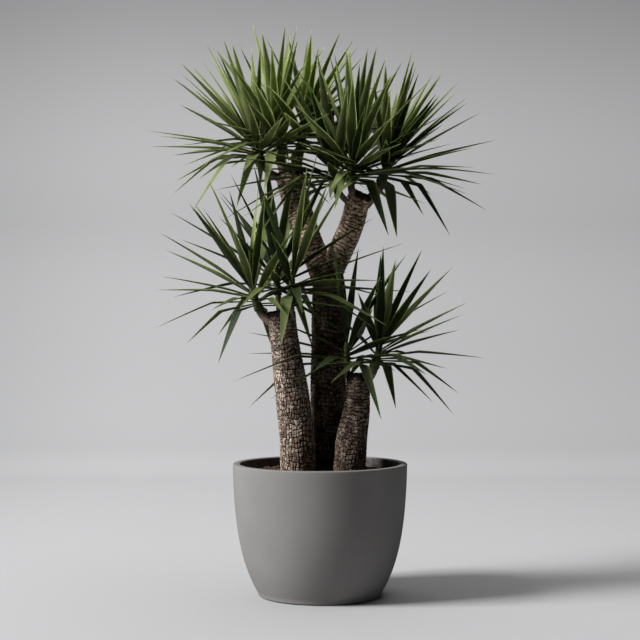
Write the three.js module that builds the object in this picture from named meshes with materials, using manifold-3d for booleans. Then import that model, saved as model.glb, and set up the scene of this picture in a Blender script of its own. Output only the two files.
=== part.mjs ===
import * as THREE from "three";
import { mergeVertices } from "three/addons/utils/BufferGeometryUtils.js";
import Module from "manifold-3d";

// Potted yucca: two straight canes and a forked trunk stand in the soil of a round planter, and each carries
// heads of sword-shaped leaves. Millimetres, +Z up, origin at the middle of the planter's foot. The view
// from the front looks along +Y.

// General clearance between pieces that touch
const GAP = 0.3;

// Planter: its radius falls from the lip to the foot by a slow taper and a tighter tuck low down
const POT_HEIGHT = 364;
const POT_RIM_RADIUS = 241;
const POT_TAPER = 28;
const POT_TAPER_POWER = 1.5;
const POT_TUCK = 46.5;
const POT_TUCK_POWER = 3.9;
const POT_WALL = 20;
const POT_FLOOR = 24;
const POT_FOOT_EDGE = 9;
const POT_LIP_EDGE = 3;
const POT_SIDES = 36;
const POT_STEPS = 7;

// Soil: fills the planter to just under its lip, and rises a little towards the canes
const SOIL_LEVEL = 337;
const SOIL_MOUND = 10;
const SOIL_LUMP = 2.2;
const SOIL_SLACK = 0.4;
const SOIL_STEPS = 3;
const SOIL_RINGS = 5;

// Canes: they are plain and round in the soil, and barked from just above it, with rings of leaf scars
const CANE_SIDES = 12;
const CANE_DEPTH = 80;
const BARK_START = 352;
const BUTT_SHARE = 0.93;
const SCAR_PITCH = 38;
const SCAR_RISE = 0.035;
const BARK_SWELL = 0.03;

// Each cane's line as stations of place and radius, from the soil up, and the trunk's two limbs
const CANE_LEFT = [
  [-62, -30, BARK_START, 47],
  [-63, -30, 430, 47],
  [-73, -30, 535, 46],
  [-84, -30, 605, 43.5],
  [-94, -30, 675, 39.5],
  [-102, -30, 740, 37.5],
  [-107, -30, 782, 39],
];
const CANE_RIGHT = [
  [80, -45, BARK_START, 43],
  [87, -45, 431, 42],
  [98, -45, 500, 36.5],
  [103, -45, 555, 33],
  [104, -45, 612, 31],
];
const TRUNK = [
  [28, 55, BARK_START, 50],
  [24, 55, 500, 49],
  [25, 55, 700, 49],
  [26, 55, 810, 48],
  [24, 55, 890, 40],
];
const LIMB_LEFT = [
  [24, 57, 830, 37],
  [8, 60, 886, 36],
  [-8, 64, 929, 35.5],
  [-25, 68, 971, 35.5],
  [-42, 72, 1019, 35.5],
  [-54, 75, 1053, 36],
  [-70, 80, 1100, 37],
  [-80, 86, 1140, 38.5],
  [-88, 90, 1178, 39.5],
];
const LIMB_RIGHT = [
  [27, 52, 830, 36],
  [31, 50, 895, 35],
  [52, 45, 942, 34],
  [76, 38, 995, 33.5],
  [95, 31, 1045, 33],
  [104, 26, 1083, 33],
  [116, 22, 1113, 34],
];

// Shoots: the short bare stems that carry the heads
const SHOOT_SIDES = 8;
const SHOOT_RINGS = 3;

// Heads: root is where the shoot leaves the wood, seat is where it ends and the head begins, girth is the
// shoot's radius, and lean is how far the head tips to the right and to the back for each unit of height
const HEADS = [
  { name: "head_top_left", on: "trunk", root: [-108, 88, 1160], seat: [-160, 80, 1200], girth: 10,
    lean: [-0.44, 0.02], leaves: 30, length: 305, turn: 67, seed: 551 },
  { name: "head_top_front", on: "trunk", root: [-94, 82, 1160], seat: [-115, 72, 1230], girth: 12,
    lean: [-0.12, 0.02], leaves: 27, length: 290, turn: 255, seed: 50 },
  { name: "head_top_right", on: "trunk", root: [-68, 98, 1160], seat: [-54, 108, 1251], girth: 11,
    lean: [0.16, 0.17], leaves: 27, length: 300, turn: 83, seed: 34 },
  { name: "head_fork_left", on: "trunk", root: [96, 26, 1080], seat: [50, 28, 1128], girth: 8,
    lean: [-0.23, 0.23], leaves: 27, length: 340, turn: 211, seed: 821 },
  { name: "head_fork_front", on: "trunk", root: [104, 12, 1090], seat: [86, -6, 1136], girth: 10,
    lean: [0.03, -0.34], leaves: 27, length: 325, turn: 164, seed: 60 },
  { name: "head_fork_right", on: "trunk", root: [126, 24, 1086], seat: [170, 28, 1142], girth: 13,
    lean: [0.37, 0.1], leaves: 30, length: 305, turn: 101, seed: 470 },
  { name: "head_low_left", on: "cane_left", root: [-124, -34, 750], seat: [-166, -40, 788], girth: 11,
    lean: [-0.39, -0.17], leaves: 30, length: 305, turn: 316, seed: 597 },
  { name: "head_low_back", on: "cane_left", root: [-110, -10, 765], seat: [-116, 0, 829], girth: 8,
    lean: [-0.07, 0.27], leaves: 27, length: 340, turn: 302, seed: 285 },
  { name: "head_low_right", on: "cane_left", root: [-88, -44, 735], seat: [-79, -55, 817], girth: 11,
    lean: [0.06, -0.18], leaves: 27, length: 340, turn: 128, seed: 500 },
  { name: "head_side_left", on: "cane_right", root: [86, -42, 590], seat: [74, -42, 632], girth: 8,
    lean: [-0.01, -0.12], leaves: 27, length: 325, turn: 15, seed: 980 },
  { name: "head_side_right", on: "cane_right", root: [116, -48, 585], seat: [148, -50, 630], girth: 12,
    lean: [0.27, -0.09], leaves: 30, length: 295, turn: 54, seed: 418 },
];

// Core of a head, where its leaves are rooted
const CORE_HEIGHT = 72;
const CORE_FLARE = 6;
const CORE_TOP_RADIUS = 10;
const CORE_SIDES = 6;
const FIRST_ROOT = 10;
const ROOT_SPAN = 55;

// Leaves: sizes, how they stand round the core, and how far they lean from the youngest to the oldest
const LEAF_WIDTH = 28;
const LEAF_THICKNESS = 2.4;
const LEAF_CHANNEL = 0.18;
const LEAF_WIDEST = 0.42;
const LEAF_ROOT_WIDTH = 0.24;
const LEAF_SWELL = 1.8;
const LEAF_TAPER = 1.15;
const GOLDEN_TURN = 137.50776;
const YOUNG_LEAN = 5;
const OLD_LEAN = 132;
const LEAN_POWER = 1.3;
const LEAF_ARCH = 5;
const STIFF_LEAN = 83;
const STIFF_SAG = 0.3;
const UPRIGHT_TO = 75;
const UPRIGHT_SPAN = 40;
const LIMP_FROM = 138;
const LIMP_SPAN = 20;
const FOLD_SHARE = 0.42;
const LIMP_FOLD = 0.27;
const LIMP_SHORTER = 0.4;
const LEAF_CHANCES = { turn: 8, lean: 6, length: 0.09, width: 0.14, roll: 1, start: 5, fold: 0.03 };

// How far a leaf may be rolled about its own length, where it stands out sideways, upright or limp
const SIDE_ROLL = 8;
const YOUNG_ROLL = 26;
const LIMP_ROLL = 50;

// How a leaf bends clear of another head or of a cane: turns round the head that are tried in this order
const CLEAR_TURNS = [0, 8, -8, 16, -16, 24, -24, 32, -32, 40, -40];
const CLEAR_MARGIN = 1;

const BARK = new THREE.MeshStandardMaterial({ color: 0x9a846c, roughness: 0.9, metalness: 0 });
const GREEN = new THREE.MeshStandardMaterial({ color: 0x4f7a2e, roughness: 0.45, metalness: 0 });
const CLAY = new THREE.MeshStandardMaterial({ color: 0x76736f, roughness: 0.8, metalness: 0 });
const EARTH = new THREE.MeshStandardMaterial({ color: 0x3a2a1e, roughness: 0.95, metalness: 0 });

const wasm = await Module();
wasm.setup();

// A closed geometry as a solid that can be joined and cut
function solidOf(geometry) {
  const bare = new THREE.BufferGeometry();
  bare.setAttribute("position", geometry.getAttribute("position"));
  bare.setIndex(geometry.getIndex());
  const merged = mergeVertices(bare, 1e-4);
  const corners = Array.from(merged.index.array);
  const kept = [];
  for (let i = 0; i < corners.length; i += 3) {
    const [a, b, c] = corners.slice(i, i + 3);
    if (a !== b && b !== c && c !== a) kept.push(a, b, c);
  }
  const mesh = new wasm.Mesh({
    numProp: 3,
    vertProperties: merged.getAttribute("position").array,
    triVerts: new Uint32Array(kept),
  });
  return new wasm.Manifold(mesh);
}

// A solid's largest whole body as a named mesh
function meshOf(name, solid, material) {
  const bodies = solid.decompose().sort((a, b) => b.volume() - a.volume());
  const data = bodies[0].getMesh();
  const geometry = new THREE.BufferGeometry();
  geometry.setAttribute("position", new THREE.BufferAttribute(data.vertProperties, 3));
  geometry.setIndex(new THREE.BufferAttribute(data.triVerts, 1));
  geometry.computeVertexNormals();
  const mesh = new THREE.Mesh(geometry, material);
  mesh.name = name;
  return mesh;
}

// A tube with closed ends: each ring of a unit cylinder is laid at the place that ringAt(share) gives, with
// two directions across the tube, and pushed out by reachAt(share, angle) in each of them
function tube(sides, rings, ringAt, reachAt) {
  const geometry = new THREE.CylinderGeometry(1, 1, 1, sides, rings);
  const position = geometry.getAttribute("position");
  const point = new THREE.Vector3();
  for (let i = 0; i < position.count; i += 1) {
    const share = position.getY(i) + 0.5;
    const ring = ringAt(share);
    const angle = Math.atan2(-position.getZ(i), position.getX(i));
    const centre = Math.hypot(position.getX(i), position.getZ(i)) < 0.5;
    const [side, deep] = centre ? [0, 0] : reachAt(share, angle);
    point.copy(ring.place).addScaledVector(ring.side, side).addScaledVector(ring.deep, deep);
    position.setXYZ(i, point.x, point.y, point.z);
  }
  return solidOf(geometry);
}

// Directions across a line: one to the right of it and one to the back
function across(along) {
  const side = new THREE.Vector3(0, 1, 0).cross(along).normalize();
  const deep = new THREE.Vector3().crossVectors(along, side);
  return { side, deep };
}

const radians = THREE.MathUtils.degToRad;

// Turns a profile of [radius, height] points round the upright axis
function turned(profile, sides) {
  const outline = profile.map((point) => new THREE.Vector2(...point));
  return new THREE.LatheGeometry(outline, sides).rotateX(Math.PI / 2);
}

function potRadius(height) {
  const down = 1 - height / POT_HEIGHT;
  return POT_RIM_RADIUS - POT_TAPER * down ** POT_TAPER_POWER - POT_TUCK * down ** POT_TUCK_POWER;
}

// The planter's inner wall as far up as the soil, as [radius, height] points
function innerWall() {
  const wall = [];
  for (let i = 0; i <= SOIL_STEPS; i += 1) {
    const height = POT_FLOOR + ((SOIL_LEVEL - POT_FLOOR) * i) / SOIL_STEPS;
    wall.push([potRadius(height) - POT_WALL, height]);
  }
  return wall;
}

function pot() {
  const edge = POT_FOOT_EDGE;
  const lip = POT_LIP_EDGE;
  const profile = [[0, 0]];
  for (const turn of [0, Math.PI / 4]) {
    const radius = potRadius(edge) - edge * (1 - Math.sin(turn));
    profile.push([radius, edge * (1 - Math.cos(turn))]);
  }
  for (let i = 0; i <= POT_STEPS; i += 1) {
    const height = edge + ((POT_HEIGHT - lip - edge) * i) / POT_STEPS;
    profile.push([potRadius(height), height]);
  }
  profile.push([POT_RIM_RADIUS - lip, POT_HEIGHT]);
  profile.push([POT_RIM_RADIUS - POT_WALL + lip, POT_HEIGHT]);
  profile.push([potRadius(POT_HEIGHT - lip) - POT_WALL, POT_HEIGHT - lip]);
  profile.push(...innerWall().reverse());
  profile.push([0, POT_FLOOR]);
  return solidOf(turned(profile, POT_SIDES));
}

// Height of the soil: lumpy by a sum of slow waves that die out at the planter's wall
function soilTop(x, y, edge) {
  const out = Math.min(1, Math.hypot(x, y) / edge);
  const lumps = Math.sin(x / 17 + 1.3) * Math.cos(y / 21) + 0.6 * Math.sin((x + y) / 11);
  return SOIL_LEVEL + SOIL_MOUND * (1 - out ** 2) + SOIL_LUMP * lumps * (1 - out ** 4);
}

function soil() {
  const side = innerWall().map(([radius, height]) => [radius - SOIL_SLACK, height]);
  side[0][1] += GAP;
  const profile = [[0, POT_FLOOR + GAP], ...side];
  const [edge] = side.at(-1);
  for (let i = SOIL_RINGS - 1; i >= 0; i -= 1) {
    profile.push([(edge * i) / SOIL_RINGS, SOIL_LEVEL]);
  }
  const geometry = turned(profile, POT_SIDES);
  const position = geometry.getAttribute("position");
  for (let i = 0; i < position.count; i += 1) {
    const [x, y, z] = [position.getX(i), position.getY(i), position.getZ(i)];
    if (z > SOIL_LEVEL - 0.1) position.setZ(i, soilTop(x, y, edge));
  }
  return solidOf(geometry);
}

// A line through stations of place and radius, with the place and the radius at any share of its length
function lineThrough(stations) {
  const curve = new THREE.CatmullRomCurve3(stations.map(([x, y, z]) => new THREE.Vector3(x, y, z)));
  const radiusAt = (share) => {
    const step = Math.min(stations.length - 1.000001, curve.getUtoTmapping(share) * (stations.length - 1));
    const at = Math.floor(step);
    return THREE.MathUtils.lerp(stations[at][3], stations[at + 1][3], step - at);
  };
  return { curve, radiusAt, length: curve.getLength() };
}

// Barked wood along a line: rings of leaf scars, and a girth that swells and shrinks slowly
function wood(stations, phase) {
  const { curve, radiusAt, length } = lineThrough(stations);
  const rings = 2 * Math.round(length / SCAR_PITCH);
  const ringAt = (share) => ({ place: curve.getPointAt(share), ...across(curve.getTangentAt(share)) });
  const reachAt = (share, angle) => {
    const ring = Math.round(share * rings);
    const scar = ring % 2 === 0 ? -SCAR_RISE : SCAR_RISE;
    const swell = Math.sin(3 * angle + phase + share * 9) + 0.6 * Math.sin(5 * angle - share * 17);
    const reach = radiusAt(share) * (1 + scar / 2 + (BARK_SWELL / 2) * swell);
    return [reach * Math.cos(angle), reach * Math.sin(angle)];
  };
  return tube(CANE_SIDES, rings, ringAt, reachAt);
}

// The plain round foot of a cane in the soil, and with some slack the plain hole that it stands in
function butt([x, y, level, girth], slack) {
  const radius = girth * BUTT_SHARE + slack;
  const top = level + SCAR_PITCH / 2;
  const height = top - SOIL_LEVEL + CANE_DEPTH + slack;
  const geometry = new THREE.CylinderGeometry(radius, radius, height, CANE_SIDES);
  return solidOf(geometry.rotateX(Math.PI / 2).translate(x, y, top - height / 2));
}

// Direction of a head's axis
function axisOf(head) {
  return new THREE.Vector3(...head.lean, 1).normalize();
}

// A head's bare shoot: it curves out of the wood and ends square to the head's axis
function shoot(head) {
  const axis = axisOf(head);
  const root = new THREE.Vector3(...head.root);
  const seat = new THREE.Vector3(...head.seat);
  const control = seat.clone().addScaledVector(axis, -0.5 * seat.distanceTo(root));
  const curve = new THREE.QuadraticBezierCurve3(root, control, seat);
  const ringAt = (share) => ({ place: curve.getPoint(share), ...across(curve.getTangent(share)) });
  const reachAt = (share, angle) => [head.girth * Math.cos(angle), head.girth * Math.sin(angle)];
  return tube(SHOOT_SIDES, SHOOT_RINGS, ringAt, reachAt);
}

// A head's core stands just clear of its shoot and comes to a blunt point
function core(head) {
  const axis = axisOf(head);
  const foot = new THREE.Vector3(...head.seat).addScaledVector(axis, GAP);
  const directions = across(axis);
  const ringAt = (share) => ({
    place: foot.clone().addScaledVector(axis, share * CORE_HEIGHT),
    ...directions,
  });
  const reachAt = (share, angle) => {
    const reach = THREE.MathUtils.lerp(head.girth + CORE_FLARE, CORE_TOP_RADIUS, share);
    return [reach * Math.cos(angle), reach * Math.sin(angle)];
  };
  return tube(CORE_SIDES, 1, ringAt, reachAt);
}

// Evenly spread numbers from 0 to 1 that depend only on the seed
function drawFrom(seed) {
  let state = seed;
  const draw = () => {
    state = (Math.imul(state, 1664525) + 1013904223) >>> 0;
    return state / 2 ** 32;
  };
  for (let i = 0; i < 3; i += 1) draw();
  return draw;
}

// What chance gives each leaf of a head
function leafChances(head) {
  const draw = drawFrom(head.seed);
  const within = (range) => (2 * draw() - 1) * range;
  const chances = [];
  for (let i = 0; i < head.leaves; i += 1) {
    const leaf = { index: i };
    for (const [trait, range] of Object.entries(LEAF_CHANCES)) leaf[trait] = within(range);
    chances.push(leaf);
  }
  return chances;
}

// One leaf's course. It leaves the core at its own height and turn, the young ones almost upright and the
// old ones hanging. One that leans past the stiff angle starts near it and folds down part way, and the
// limp ones at the very bottom fold close to their root.
function leafCourse(head, leaf, clearTurn) {
  const young = (leaf.index + 0.5) / head.leaves;
  const turn = radians(head.turn + leaf.index * GOLDEN_TURN + leaf.turn + clearTurn);
  const aged = YOUNG_LEAN + (OLD_LEAN - YOUNG_LEAN) * (1 - young) ** LEAN_POWER;
  const lean = radians(Math.max(2, aged + leaf.lean));
  const axis = axisOf(head);
  const right = new THREE.Vector3(0, 1, 0).cross(axis).normalize();
  const back = new THREE.Vector3().crossVectors(axis, right);
  const aim = axis.clone().multiplyScalar(Math.cos(lean));
  aim.addScaledVector(right, Math.sin(lean) * Math.cos(turn));
  aim.addScaledVector(back, Math.sin(lean) * Math.sin(turn));
  const end = THREE.MathUtils.radToDeg(Math.acos(aim.z));
  const upright = THREE.MathUtils.clamp((UPRIGHT_TO - end) / UPRIGHT_SPAN, 0, 1);
  const limp = THREE.MathUtils.clamp((end - LIMP_FROM) / LIMP_SPAN, 0, 1);
  const looseness = SIDE_ROLL + (YOUNG_ROLL - SIDE_ROLL) * upright + (LIMP_ROLL - SIDE_ROLL) * limp;
  return {
    root: new THREE.Vector3(...head.seat).addScaledVector(axis, FIRST_ROOT + ROOT_SPAN * young),
    heading: new THREE.Vector3(aim.x, aim.y, 0).normalize(),
    start: Math.min(end, STIFF_LEAN + STIFF_SAG * (end - STIFF_LEAN) + leaf.start),
    end,
    fold: FOLD_SHARE + leaf.fold - LIMP_FOLD * limp,
    length: head.length * (1 + leaf.length) * (1 - LIMP_SHORTER * limp),
    width: LEAF_WIDTH * (1 + leaf.width),
    roll: radians(leaf.roll * looseness),
  };
}

// A leaf's stations from root to tip: share of the length, place and direction
function leafStations(course) {
  const up = new THREE.Vector3(0, 0, 1);
  const shares = [0, course.fold, (1 + course.fold) / 2, 1];
  const directions = [];
  const places = [course.root.clone()];
  for (let i = 1; i < shares.length; i += 1) {
    const middle = (shares[i - 1] + shares[i]) / 2;
    const lean = radians((i === 1 ? course.start : course.end) + LEAF_ARCH * middle);
    const along = course.heading.clone().multiplyScalar(Math.sin(lean)).addScaledVector(up, Math.cos(lean));
    const stretch = course.length * (shares[i] - shares[i - 1]);
    places.push(places.at(-1).clone().addScaledVector(along, stretch));
    directions.push(along);
  }
  return shares.map((share, i) => {
    const before = directions[Math.max(0, i - 1)];
    const after = directions[Math.min(directions.length - 1, i)];
    return { share, place: places[i], along: before.clone().add(after).normalize() };
  });
}

// Half width of a leaf at a share of its length, as a share of its widest half
function leafWidth(share) {
  if (share < LEAF_WIDEST) {
    const rising = Math.sin((Math.PI / 2) * (share / LEAF_WIDEST)) ** LEAF_SWELL;
    return LEAF_ROOT_WIDTH + (1 - LEAF_ROOT_WIDTH) * rising;
  }
  return 1 - ((share - LEAF_WIDEST) / (1 - LEAF_WIDEST)) ** LEAF_TAPER;
}

// A leaf's solid: a channelled blade with its edges raised and a keel below, grown by a margin all round
function blade(course, margin) {
  const stations = leafStations(course);
  const stationAt = (share) => stations[Math.round(share * (stations.length - 1))];
  const flat = new THREE.Vector3(-course.heading.y, course.heading.x, 0);
  const ringAt = (share) => {
    const { place, along } = stationAt(share);
    const side = flat.clone().applyAxisAngle(along, course.roll);
    return { place, side, deep: new THREE.Vector3().crossVectors(along, side) };
  };
  const reachAt = (at, angle) => {
    const { share } = stationAt(at);
    const half = (course.width / 2) * leafWidth(share);
    const thick = (LEAF_THICKNESS / 2) * (1 - share ** 4);
    const [side, deep] = [Math.round(Math.cos(angle)), Math.round(Math.sin(angle))];
    const raised = side === 0 ? 0 : 2 * LEAF_CHANNEL * half;
    return [side * (half + margin), deep * (thick + margin) + raised];
  };
  return tube(4, stations.length - 1, ringAt, reachAt);
}

// A head's leaves, each at the first turn at which it runs clear of what stands round the head
function leavesOf(head, around) {
  const blades = [];
  for (const leaf of leafChances(head)) {
    const courses = CLEAR_TURNS.map((turn) => leafCourse(head, leaf, turn));
    const free = courses.find((course) => {
      const grown = blade(course, CLEAR_MARGIN);
      return around.every((solid) => grown.intersect(solid).isEmpty());
    });
    if (free) blades.push(blade(free, 0));
  }
  return blades;
}

const WOODS = {
  cane_left: [wood(CANE_LEFT, 0), butt(CANE_LEFT[0], 0)],
  cane_right: [wood(CANE_RIGHT, 2), butt(CANE_RIGHT[0], 0)],
  trunk: [wood(TRUNK, 4), wood(LIMB_LEFT, 1), wood(LIMB_RIGHT, 3), butt(TRUNK[0], 0)],
};

const plant = new THREE.Group();
plant.add(meshOf("pot", pot(), CLAY));

const holes = [CANE_LEFT, CANE_RIGHT, TRUNK].map((line) => butt(line[0], GAP));
plant.add(meshOf("soil", soil().subtract(wasm.Manifold.union(holes)), EARTH));

const standing = [];
for (const [name, pieces] of Object.entries(WOODS)) {
  const shoots = HEADS.filter((head) => head.on === name).map(shoot);
  const solid = wasm.Manifold.union([...pieces, ...shoots]);
  standing.push(solid);
  plant.add(meshOf(name, solid, BARK));
}

const cores = HEADS.map(core);
HEADS.forEach((head, at) => {
  const others = cores.filter((_, other) => other !== at);
  const leaves = leavesOf(head, [...standing, ...others]);
  const solid = wasm.Manifold.union([cores[at], ...leaves]);
  standing.push(solid);
  plant.add(meshOf(head.name, solid, GREEN));
});

export default plant;
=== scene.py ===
import math

import bmesh
import bpy
from mathutils import Euler, Matrix, Vector, noise
from mathutils.bvhtree import BVHTree
from mathutils.kdtree import KDTree


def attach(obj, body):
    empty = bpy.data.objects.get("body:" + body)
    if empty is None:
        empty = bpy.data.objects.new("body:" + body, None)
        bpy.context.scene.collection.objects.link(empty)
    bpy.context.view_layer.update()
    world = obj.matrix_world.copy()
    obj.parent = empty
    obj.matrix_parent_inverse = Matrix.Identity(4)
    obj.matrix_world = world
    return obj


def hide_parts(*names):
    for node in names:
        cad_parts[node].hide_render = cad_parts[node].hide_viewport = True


# A potted yucca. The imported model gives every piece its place, and this script its finished look.
# Metres, +Z up. The view from the front looks along +Y.
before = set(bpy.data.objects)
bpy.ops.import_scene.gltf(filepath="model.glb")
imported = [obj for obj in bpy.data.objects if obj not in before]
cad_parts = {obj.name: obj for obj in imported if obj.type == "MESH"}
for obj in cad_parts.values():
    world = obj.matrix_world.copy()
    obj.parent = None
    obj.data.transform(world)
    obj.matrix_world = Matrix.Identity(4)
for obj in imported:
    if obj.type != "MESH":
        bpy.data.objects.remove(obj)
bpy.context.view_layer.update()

# Camera: level with the middle of the plant, far off, with a portrait lens
LENS_MM = 85
SENSOR_MM = 36
CAMERA_PLACE = (0.0, -4.183, 0.760)

# Key light: degrees to the left of the camera and above the level, then metres and watts
KEY_TURN = 72
KEY_RISE = 33
KEY_DISTANCE = 20.0
KEY_SIZE = 6.4
KEY_POWER = 7800
KEY_AIM = (0, 0, 0.7)
# A dim wide lamp overhead, and the faint light of the air
OVERHEAD_PLACE = (0.4, 0.6, 5.0)
OVERHEAD_SIZE = 4.0
OVERHEAD_POWER = 120
AIR_COLOUR = (0.98, 0.99, 1.0, 1)
AIR_STRENGTH = 0.03

# Sweep: one sheet of paper that is floor and wall, with a round bend between them
SWEEP_REACH = 9.0
BEND_START = 3.1
BEND_RADIUS = 1.3
BEND_STEPS = 16
WALL_TOP = 8.0
# Brightness of the paper, and where it darkens: from one place to another along an axis; the
# darkening high up, low on the wall and towards the left is painted shade
PAPER_ALBEDO = 0.41
PAPER_DARK = (0.02, 0.02, 0.021)
PAPER_HIGH_SHADE = (1.55, 3.1)
PAPER_SIDES = (1.7, 5.5)
PAPER_FRONT = (-0.9, -3.0)
PAPER_EDGE_SHARE = 0.85
WALL_FOOT = (0.0, 0.12)
WALL_MIDDLE = (1.3, 0.4)
WALL_LOW_SHADE_SHARE = 0.24
PAPER_LEFT_SHADE = (-0.8, -2.4)
PAPER_LEFT_SHADE_SHARE = 0.22

# Planter
POT_HEIGHT = 0.364
POT_RIM_RADIUS = 0.241
POT_TAPER = 0.028
POT_TAPER_POWER = 1.5
POT_TUCK = 0.0465
POT_TUCK_POWER = 3.9
POT_WALL = 0.020
POT_FLOOR = 0.024
POT_FOOT_EDGE = 0.009
POT_LIP_EDGE = 0.003
POT_SIDES = 192
POT_STEPS = 40
EDGE_STEPS = 6

# Compost
SOIL_LEVEL = 0.337
SOIL_MOUND = 0.010
SOIL_LUMP = 0.0022
SOIL_SIDES = 200
SOIL_RINGS = 70
LUMP_SPANS = (0.017, 0.021, 0.011)
CRUMB_SIZE = 0.0045
CRUMB_RISE = 0.0014
SIDE_GAP = 0.0004
FLOOR_GAP = 0.0005
# Bark chips: sizes as shares of the whole, and their tilt in radians
CHIP_SEED = 77
CHIP_COUNT = 900
CHIP_REACH = 0.97
CHIP_SIZE = 0.011
CHIP_SIZES = (0.45, 1.3)
CHIP_LENGTHS = (0.7, 1.6)
CHIP_WIDTHS = (0.35, 0.7)
CHIP_HEIGHTS = (0.14, 0.3)
CHIP_RAGGED = (0.6, 1.15)
CHIP_TILT = 0.35

# Canes: stations of place and radius along each line, from the soil up
WOODS = ("cane_left", "cane_right", "trunk")
BARK_FOOT = 0.310
WOOD_LINE_STEPS = 24
CANE_LEFT = [
    (-0.062, -0.030, 0.352, 0.047),
    (-0.063, -0.030, 0.430, 0.047),
    (-0.073, -0.030, 0.535, 0.046),
    (-0.084, -0.030, 0.605, 0.0435),
    (-0.094, -0.030, 0.675, 0.0395),
    (-0.102, -0.030, 0.740, 0.0375),
    (-0.107, -0.030, 0.782, 0.039),
]
CANE_RIGHT = [
    (0.080, -0.045, 0.352, 0.043),
    (0.087, -0.045, 0.431, 0.042),
    (0.098, -0.045, 0.500, 0.0365),
    (0.103, -0.045, 0.555, 0.033),
    (0.104, -0.045, 0.612, 0.031),
]
TRUNK = [
    (0.028, 0.055, 0.352, 0.050),
    (0.024, 0.055, 0.500, 0.049),
    (0.025, 0.055, 0.700, 0.049),
    (0.026, 0.055, 0.810, 0.048),
    (0.024, 0.055, 0.890, 0.040),
]
LIMB_LEFT = [
    (0.024, 0.057, 0.830, 0.037),
    (0.008, 0.060, 0.886, 0.036),
    (-0.008, 0.064, 0.929, 0.0355),
    (-0.025, 0.068, 0.971, 0.0355),
    (-0.042, 0.072, 1.019, 0.0355),
    (-0.054, 0.075, 1.053, 0.036),
    (-0.070, 0.080, 1.100, 0.037),
    (-0.080, 0.086, 1.140, 0.0385),
    (-0.088, 0.090, 1.178, 0.0395),
]
LIMB_RIGHT = [
    (0.027, 0.052, 0.830, 0.036),
    (0.031, 0.050, 0.895, 0.035),
    (0.052, 0.045, 0.942, 0.034),
    (0.076, 0.038, 0.995, 0.0335),
    (0.095, 0.031, 1.045, 0.033),
    (0.104, 0.026, 1.083, 0.033),
    (0.116, 0.022, 1.113, 0.034),
]

# Bark: rings of leaf scars that cracks split into plates
RING_PITCH = 0.0100
TALL_PLATES = 0.5
RING_WANDER = 0.75
RING_TREMBLE = 0.30
RING_WAVES = 22
RING_TREMBLE_WAVES = 80
CRACK_DRIFT = 0.9
CRACK_TREMBLE = 0.35
CRACK_TREMBLE_WAVES = 95
STAGGER = 1.0
PLATE_WIDTH = 0.0085
BARK_DEPTH = 0.0032
BARK_ROUGH = 0.0008
BARK_ROUGH_WAVES = 400
OUT_OF_ROUND = 0.015
# Half a crack's width as a share of its plate, how much that varies, and where cracks open
GROOVE_SHARE = 0.20
UPRIGHT_WIDTHS = (0.6, 1.35)
LEVEL_WIDTHS = (0.75, 1.25)
UPRIGHT_OPEN = (-0.35, 0.15)
LEVEL_OPEN = (-0.30, 0.25)
LEVEL_LEAST = 0.25
# The wax that has run down from a sawn top, and the top's worn rim
WAX_BAND = 0.021
RIM_ROUNDING = 0.005
RIM_RAGGED = 0.0035
# Rise and width of each step of a sawn top; the width is a share of the girth
SAWN_STEPS = ((0.0012, 0.10), (0.0003, 0.16), (-0.0006, 0.22), (-0.0010, 0.25))
SAWN_UNEVEN = 0.0012
SAWN_WAVES = 160
# Size of a square of the bark's mesh
CANE_CELL = 0.0013
TRUNK_CELL = 0.0019
# How far plates rather than rings cover the bark, at the foot and at the top
LEFT_BLOCKS = (0.75, 0.45)
RIGHT_BLOCKS = (0.80, 0.10)
TRUNK_BLOCKS = (0.6, 0.4)
LIMB_BLOCKS = (0.25, 0.15)
# From what share of plates the bark's fine lines run upright
LINES_UPRIGHT = (0.30, 0.55)
# How dark the painted shade on the lower bark is, how pale the limbs are painted as light on them,
# and over what heights the painted shade fades
TRUNK_PAINTED_SHADE = 0.95
RIGHT_PAINTED_SHADE = 0.85
LIMB_PAINTED_LIGHT_SHARE = 0.85
PAINTED_SHADE_TO = 0.84
PAINTED_SHADE_SPAN = 0.12

# Shoots
SHOOT_SIDES = 32
SHOOT_RINGS = 48
SHOOT_SCAR_PITCH = 0.0048
SHOOT_SCAR_RISE = 0.0007
SHOOT_SCAR_GROOVE = 0.28
SHOOT_COLLAR = 0.45
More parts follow.
